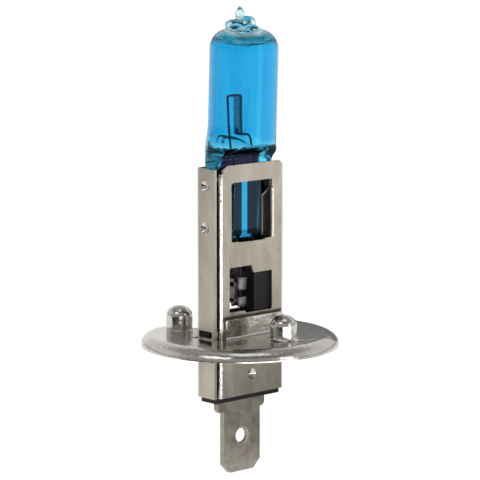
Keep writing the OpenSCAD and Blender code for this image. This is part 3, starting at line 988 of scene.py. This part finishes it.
def shells(bright):
    """Both half-shells: satin faces; bends and pressings in the brighter flange plating, polished and
    partly a painted highlight; insides darkened with painted shade.
    """
    materials = (sheet_nickel(), bright, shaded_nickel())
    half_shell("front_shell", 1, FRONT_LOW.y, FRONT_LOW.z, FRONT_HIGH.z, (1.0, 0.5), True, materials)
    half_shell("rear_shell", -1, REAR_HIGH.y, REAR_LOW.z, REAR_HIGH.z, (0.05, 0.05), False, materials)


# ---------- flange ----------

FLANGE_R = -FLANGE_LOW.y
SEAT_R = 10.9
RIM_DROP = -FLANGE_LOW.z
FLANGE_SHEET = 0.5
CUT_Y = FLANGE_HIGH.y
KEY_HALF, KEY_Y = 2.15, 6.2
PIPS = ((-4.0, 7.1, 0.1), (1.0, -6.95, 0.4))  # x, y and the flare of the foot
PIP_R, PIP_H, PIP_DOME = 1.7, 3.1, 1.3
APERTURE_X = 6.7
COLLAR_X, COLLAR_FOOT_X = (-4.6, 5.1), 6.2
COLLAR_H = 2.45
COLLAR_BEND = 0.3


def cut_arc(radius, drop, steps=120):
    """Points round a circle of the flange, from one end of the straight cut to the other."""
    at_cut = atan2(CUT_Y, sqrt(radius ** 2 - CUT_Y ** 2))
    start, end = pi - at_cut, 2 * pi + at_cut
    return [(radius * cos(a), radius * sin(a), drop)
            for a in (start + (end - start) * i / steps for i in range(steps + 1))]


def collar(sheet, side, face_y):
    """A plate bent up out of the flange beside the shells, with its foot run out towards +X.

    Returns the Y at which its bend meets the flange.
    """
    bend = [(face_y + side * COLLAR_BEND * (1 - cos(a)), COLLAR_BEND * (1 - sin(a)))
            for a in quarter_turn(5)]
    sheet.rows([[(COLLAR_X[0], y, z), (COLLAR_FOOT_X, y, z)] for y, z in bend])
    plate = rounded([
        (COLLAR_X[0], COLLAR_BEND, 0), (COLLAR_FOOT_X, COLLAR_BEND, 0), (5.75, 0.9, 0.5),
        (5.45, 1.8, 0.6), (COLLAR_X[1], COLLAR_H, 0.2), (COLLAR_X[0], COLLAR_H, 0.35),
    ])
    sheet.panel(lambda x, z: (x, face_y, z), plate)
    return face_y + side * COLLAR_BEND


def aperture(front_turn, rear_turn):
    """Outline of the flange's opening, round the shells and the feet of the collars."""
    near_front, near_rear = FRONT_LOW.y - 0.05, REAR_HIGH.y + 0.05
    x0, x1 = COLLAR_X[0], COLLAR_FOOT_X
    return [
        (-APERTURE_X, near_front), (-APERTURE_X, near_rear), (x0, near_rear), (x0, rear_turn),
        (x1, rear_turn), (x1, near_rear), (APERTURE_X, near_rear), (APERTURE_X, near_front),
        (x1, near_front), (x1, front_turn), (x0, front_turn), (x0, near_front),
    ]


def pip(sheet, x, y, foot):
    """A locating pip: a flared foot, a straight wall and a domed top."""
    profile = [(PIP_R + foot * (1 - sin(a)), foot * (1 - cos(a))) for a in quarter_turn(7)]
    profile += [(PIP_R * cos(a), PIP_H - PIP_DOME + PIP_DOME * sin(a)) for a in quarter_turn(7)[:-1]]
    sheet.dome([[(p.x, p.y, z) for p in circle(x, y, r)] for r, z in profile])


def flange(bright):
    """The round flange with its rolled rim, keyway, collars and pips."""
    sheet = Sheet()
    front_turn = collar(sheet, -1, FRONT_LOW.y - FLANGE_SHEET - 0.01)
    rear_turn = collar(sheet, 1, REAR_HIGH.y + FLANGE_SHEET + 0.01)
    outline = [p[:2] for p in cut_arc(SEAT_R, 0)]
    outline += rounded([(KEY_HALF, CUT_Y, 0), (KEY_HALF, KEY_Y, 0.5), (-KEY_HALF, KEY_Y, 0.5),
                        (-KEY_HALF, CUT_Y, 0)])
    feet = [circle(x, y, PIP_R + foot) for x, y, foot in PIPS]
    sheet.panel(lambda x, y: (x, y, 0), outline, [aperture(front_turn, rear_turn), *feet])
    sheet.rows([cut_arc(SEAT_R + (FLANGE_R - SEAT_R) * sin(a), RIM_DROP * (cos(a) - 1))
                for a in quarter_turn(10)])
    for x, y, foot in PIPS:
        pip(sheet, x, y, foot)
    piece = sheet.piece("flange_sheet", FLANGE_SHEET, Vector((0, 0, 1)), [bright])
    stands_for(piece, "flange", "bright_nickel")


# ---------- other pieces ----------

def refined(node, name, material, slot, width, segments=3):
    """A copy of a CAD node with its edges rounded."""
    bm = bmesh.new()
    bm.from_mesh(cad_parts[node].data)
    bmesh.ops.scale(bm, vec=(1 / MM, 1 / MM, 1 / MM), verts=bm.verts)
    bmesh.ops.remove_doubles(bm, verts=bm.verts, dist=1e-4)
    bmesh.ops.dissolve_limit(bm, angle_limit=radians(1), verts=bm.verts, edges=bm.edges)
    piece = place(bm, name)
    bevel(piece, width, segments)
    shade(piece)
    piece.data.materials.clear()
    stands_for(piece, node, slot, material)


def clasp(bm, low, high, right):
    """A lug that wraps the front of the ground lead, bent from the left round to `right` degrees."""
    x, y, wide, deep, thick = -0.05, -0.42, 0.84, 0.42, 0.2
    sweep = [radians(182 + (right - 182) * k / 12) for k in range(13)]
    outer, inner = ([(x + (wide - t) * cos(a), y + (deep - t) * sin(a), low) for a in sweep]
                    for t in (0, thick))
    extrude(bm, outer + inner[::-1], (0, 0, high - low))


def ground_strap(steel):
    """A ribbon flat inside the rear shell, its legs forward, and two lugs round the ground lead."""
    bm = bmesh.new()
    thick = 0.3
    ribbon_y = REAR_HIGH.y - SHEET - thick
    ribbon = [(-0.9, 3.8), (-0.35, 3.8), (-0.35, 3.3), (0.85, 3.3), (0.85, 6.9), (0.45, 6.95),
              (0.95, 7.7), (0.95, 8.4), (-0.2, 8.4), (-0.9, 7.9)]
    extrude(bm, [(x, ribbon_y, z) for x, z in ribbon], (0, thick, 0))
    for start, low, high in ((0.15, 3.8, 7.0), (-0.42, 5.9, 6.6), (-0.42, 4.0, 4.5)):
        leg = [(-0.88, start), (-0.6, start), (-0.6, ribbon_y), (-0.88, ribbon_y)]
        extrude(bm, [(x, y, low) for x, y in leg], (0, 0, high - low))
    clasp(bm, 5.65, 7.25, 358)
    clasp(bm, 3.5, 4.75, 320)
    piece = place(bm, "ground_strap_strip")
    bevel(piece, 0.05)
    shade(piece)
    stands_for(piece, "ground_strap", "strap_steel", steel)


def repaint(node, material):
    """Gives a carried-over CAD node its finished material."""
    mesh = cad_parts[node].data
    mesh.materials.clear()
    mesh.materials.append(material)


# ---------- studio ----------

VIEW_AZIMUTH, VIEW_ELEVATION = radians(-42.84), radians(8.83)
VIEW_DISTANCE = 325.2
VIEW_TARGET = Vector((0, 0, 11.9))
FOCAL_LENGTH, SENSOR = 193.03, 36.0
LIGHT_TARGET = Vector((0, 0, 12))
FLOOR_Z, FLOOR_HALF = BLADE_FOOT - 0.4, 2500
PATCH_Z = FLOOR_Z + 0.1
SKY_BY_HEIGHT = [(at, (grey,) * 3) for at, grey in (
    (0.0, 1.0), (0.05, 0.95), (0.15, 0.45), (0.3, 0.9), (0.6, 0.8), (0.8, 0.35), (1.0, 0.5))]
SKY_BY_DEPTH = [(at, (grey,) * 3) for at, grey in (  # from before the object to behind it
    (0.0, 0.5), (0.3, 0.55), (0.45, 0.85), (0.55, 1.0))]


def direction(azimuth, elevation):
    """Unit vector from the object towards a place at this azimuth, where 0 is -Y."""
    return Vector((sin(azimuth) * cos(elevation), -cos(azimuth) * cos(elevation), sin(elevation)))


BACKWARD = -direction(VIEW_AZIMUTH, 0)  # level, from the camera past the object
ACROSS = Vector((BACKWARD.y, -BACKWARD.x, 0))  # level, to the right of the picture


def aim(thing, target, towards, distance):
    """Adds a camera or light to the scene, at a distance from its target and facing it."""
    thing.location = (target + towards * distance) * MM
    thing.rotation_euler = towards.to_track_quat("Z", "Y").to_euler()
    bpy.context.scene.collection.objects.link(thing)


def camera():
    """The camera: a long lens, low and to the left of the windowed face."""
    data = bpy.data.cameras.new("camera")
    data.lens = FOCAL_LENGTH
    data.sensor_width = SENSOR
    data.clip_start = 0.01
    eye = bpy.data.objects.new("camera", data)
    aim(eye, VIEW_TARGET, direction(VIEW_AZIMUTH, VIEW_ELEVATION), VIEW_DISTANCE)
    bpy.context.scene.camera = eye


def softbox(name, azimuth, elevation, distance, width, height, radiance):
    """A rectangular studio light that faces the object and isn't in the picture."""
    data = bpy.data.lights.new(name, "AREA")
    data.shape = "RECTANGLE"
    data.size = width * MM
    data.size_y = height * MM
    data.energy = radiance * pi * data.size * data.size_y
    box = bpy.data.objects.new(name, data)
    box.visible_camera = False
    aim(box, LIGHT_TARGET, direction(radians(azimuth), radians(elevation)), distance)


def glowing(name, albedo, glow):
    """A plain matt material that also gives off light, so that shadows on it are faint."""
    material = bpy.data.materials.new(name)
    material.use_nodes = True
    surface = material.node_tree.nodes["Principled BSDF"]
    surface.inputs["Base Color"].default_value = (albedo, albedo, albedo, 1)
    surface.inputs["Roughness"].default_value = 0.9
    surface.inputs["Specular IOR Level"].default_value = 0.0
    surface.inputs["Emission Color"].default_value = (1, 1, 1, 1)
    surface.inputs["Emission Strength"].default_value = glow
    return material


def stage(bm, name, albedo, glow, hidden_from=()):
    """Turns a mesh into a glowing part of the studio, hidden from some kinds of ray."""
    sheet = mesh_object(bm, name)
    sheet.data.materials.append(glowing(name, albedo, glow))
    for kind in hidden_from:
        setattr(sheet, "visible_" + kind, False)


def rectangle(centre, along, up):
    """A flat rectangle with these two sides."""
    bm = bmesh.new()
    centre, along, up = Vector(centre), Vector(along) / 2, Vector(up) / 2
    signs = ((-1, -1), (1, -1), (1, 1), (-1, 1))
    bm.faces.new([bm.verts.new(centre + along * a + up * b) for a, b in signs])
    return bm


def floor():
    """The pale floor, wide enough to fill every view."""
    side = 2 * FLOOR_HALF
    stage(rectangle((0, 0, FLOOR_Z), (side, 0, 0), (0, side, 0)), "studio_floor", 0.55, 0.8)


def card(name, centre, along, up, glow):
    """A card outside the picture that the bright metal mirrors."""
    stage(rectangle(centre, along, up), name, 0.02, glow, ("camera", "shadow"))


def floor_patch(name, start, end, near, far, glow):
    """A patch of floor that only reflections show, between two azimuths and two distances."""
    bm = bmesh.new()
    steps = 8
    level = Vector((0, 0, PATCH_Z))
    rays = [direction(radians(start + (end - start) * i / steps), 0) for i in range(steps + 1)]
    inner, outer = ([bm.verts.new(ray * reach + level) for ray in rays] for reach in (near, far))
    for i in range(steps):
        bm.faces.new((inner[i], inner[i + 1], outer[i + 1], outer[i]))
    stage(bm, name, 0.02, glow, ("camera", "diffuse", "transmission", "shadow"))


def surroundings():
    """The sky: white to the camera, and graded by height and by depth where it is mirrored."""
    world = bpy.data.worlds.new("studio")
    world.use_nodes = True
    bpy.context.scene.world = world
    n = Tree(world.node_tree)
    n.tree.nodes.clear()
    towards = n.add("ShaderNodeTexCoord").outputs["Generated"]
    split = n.add("ShaderNodeSeparateXYZ")
    n.link(towards, split.inputs["Vector"])
    away = n.vector("DOT_PRODUCT", towards, BACKWARD)
    depth = n.add("ShaderNodeMath", operation="MULTIPLY_ADD")
    for socket in depth.inputs[1:]:
        socket.default_value = 0.5
    n.link(away.outputs["Value"], depth.inputs[0])
    by_height = n.ramp(split.outputs["Z"], *SKY_BY_HEIGHT)
    by_depth = n.ramp(depth.outputs["Value"], *SKY_BY_DEPTH)
    mirrored = n.add("ShaderNodeBackground")
    n.link(n.times(by_height, by_depth), mirrored.inputs["Color"])
    seen = n.add("ShaderNodeBackground", Color=(1, 1, 1, 1), Strength=1.05)
    mix = n.add("ShaderNodeMixShader")
    n.link(n.add("ShaderNodeLightPath").outputs["Is Camera Ray"], mix.inputs["Fac"])
    n.link(mirrored.outputs["Background"], mix.inputs[1])
    n.link(seen.outputs["Background"], mix.inputs[2])
    n.link(mix.outputs["Shader"], n.add("ShaderNodeOutputWorld").inputs["Surface"])


# ---------- the bulb ----------

bpy.context.scene.view_settings.view_transform = "Standard"
camera()
surroundings()
floor()

# name, azimuth, elevation, distance, width, height, radiance
softbox("key", -75, 45, 260, 120, 90, 1.8)
softbox("side strip", 14, 8, 240, 70, 200, 1.6)
softbox("top", 0, 80, 260, 120, 120, 0.8)

# name, centre, one side, the other side, glow
card("white card", BACKWARD * 35 - ACROSS * 23 + Vector((0, 0, 6)), ACROSS * 32, (0, 0, 14), 0.95)
card("dark card", BACKWARD * 38 + ACROSS * 17 + Vector((0, 0, 6)), ACROSS * 26, (0, 0, 14), 0.2)
FLAG_SIDE = direction(-VIEW_AZIMUTH, 0)  # level, to where the windowed face mirrors the camera
card("grey flag", FLAG_SIDE * 62 + Vector((0, 0, PATCH_Z)), FLAG_SIDE * 100,
     direction(radians(90) - VIEW_AZIMUTH, 0) * 50, 0.3)

# name, first and last azimuth, nearest and farthest distance, glow
floor_patch("bright floor", -42, 16, 70, 250, 4.6)
floor_patch("dark floor beside", -110, -47, 60, 250, 0.03)
floor_patch("dark floor before", -145, 7, 250, 460, 0.15)
floor_patch("light floor before", 8, 22, 250, 460, 2.6)

moly = lead_metal()
strip = strap_steel()
plating = bright_nickel()
quartz_envelope()
filament()
leads(moly)
shells(plating)
flange(plating)
for foil in ("ground_foil", "live_foil"):
    repaint(foil, moly)
refined("ground_outer_lead", "ground_lead_wire", moly, "molybdenum", 0.04)
refined("live_outer_lead", "live_lead_wire", moly, "molybdenum", 0.04)
ground_strap(strip)
refined("live_strap", "live_strap_strip", strip, "strap_steel", 0.06)
refined("insulator_block", "insulator_moulding", phenolic(), "black_phenolic", 0.25, 4)
refined("terminal_blade", "terminal_tab", tab_metal(), "tinned_tab", 0.1, 3)


def corners(box):
    """A box as plain lists of numbers."""
    return [[float(v) for v in corner] for corner in box]
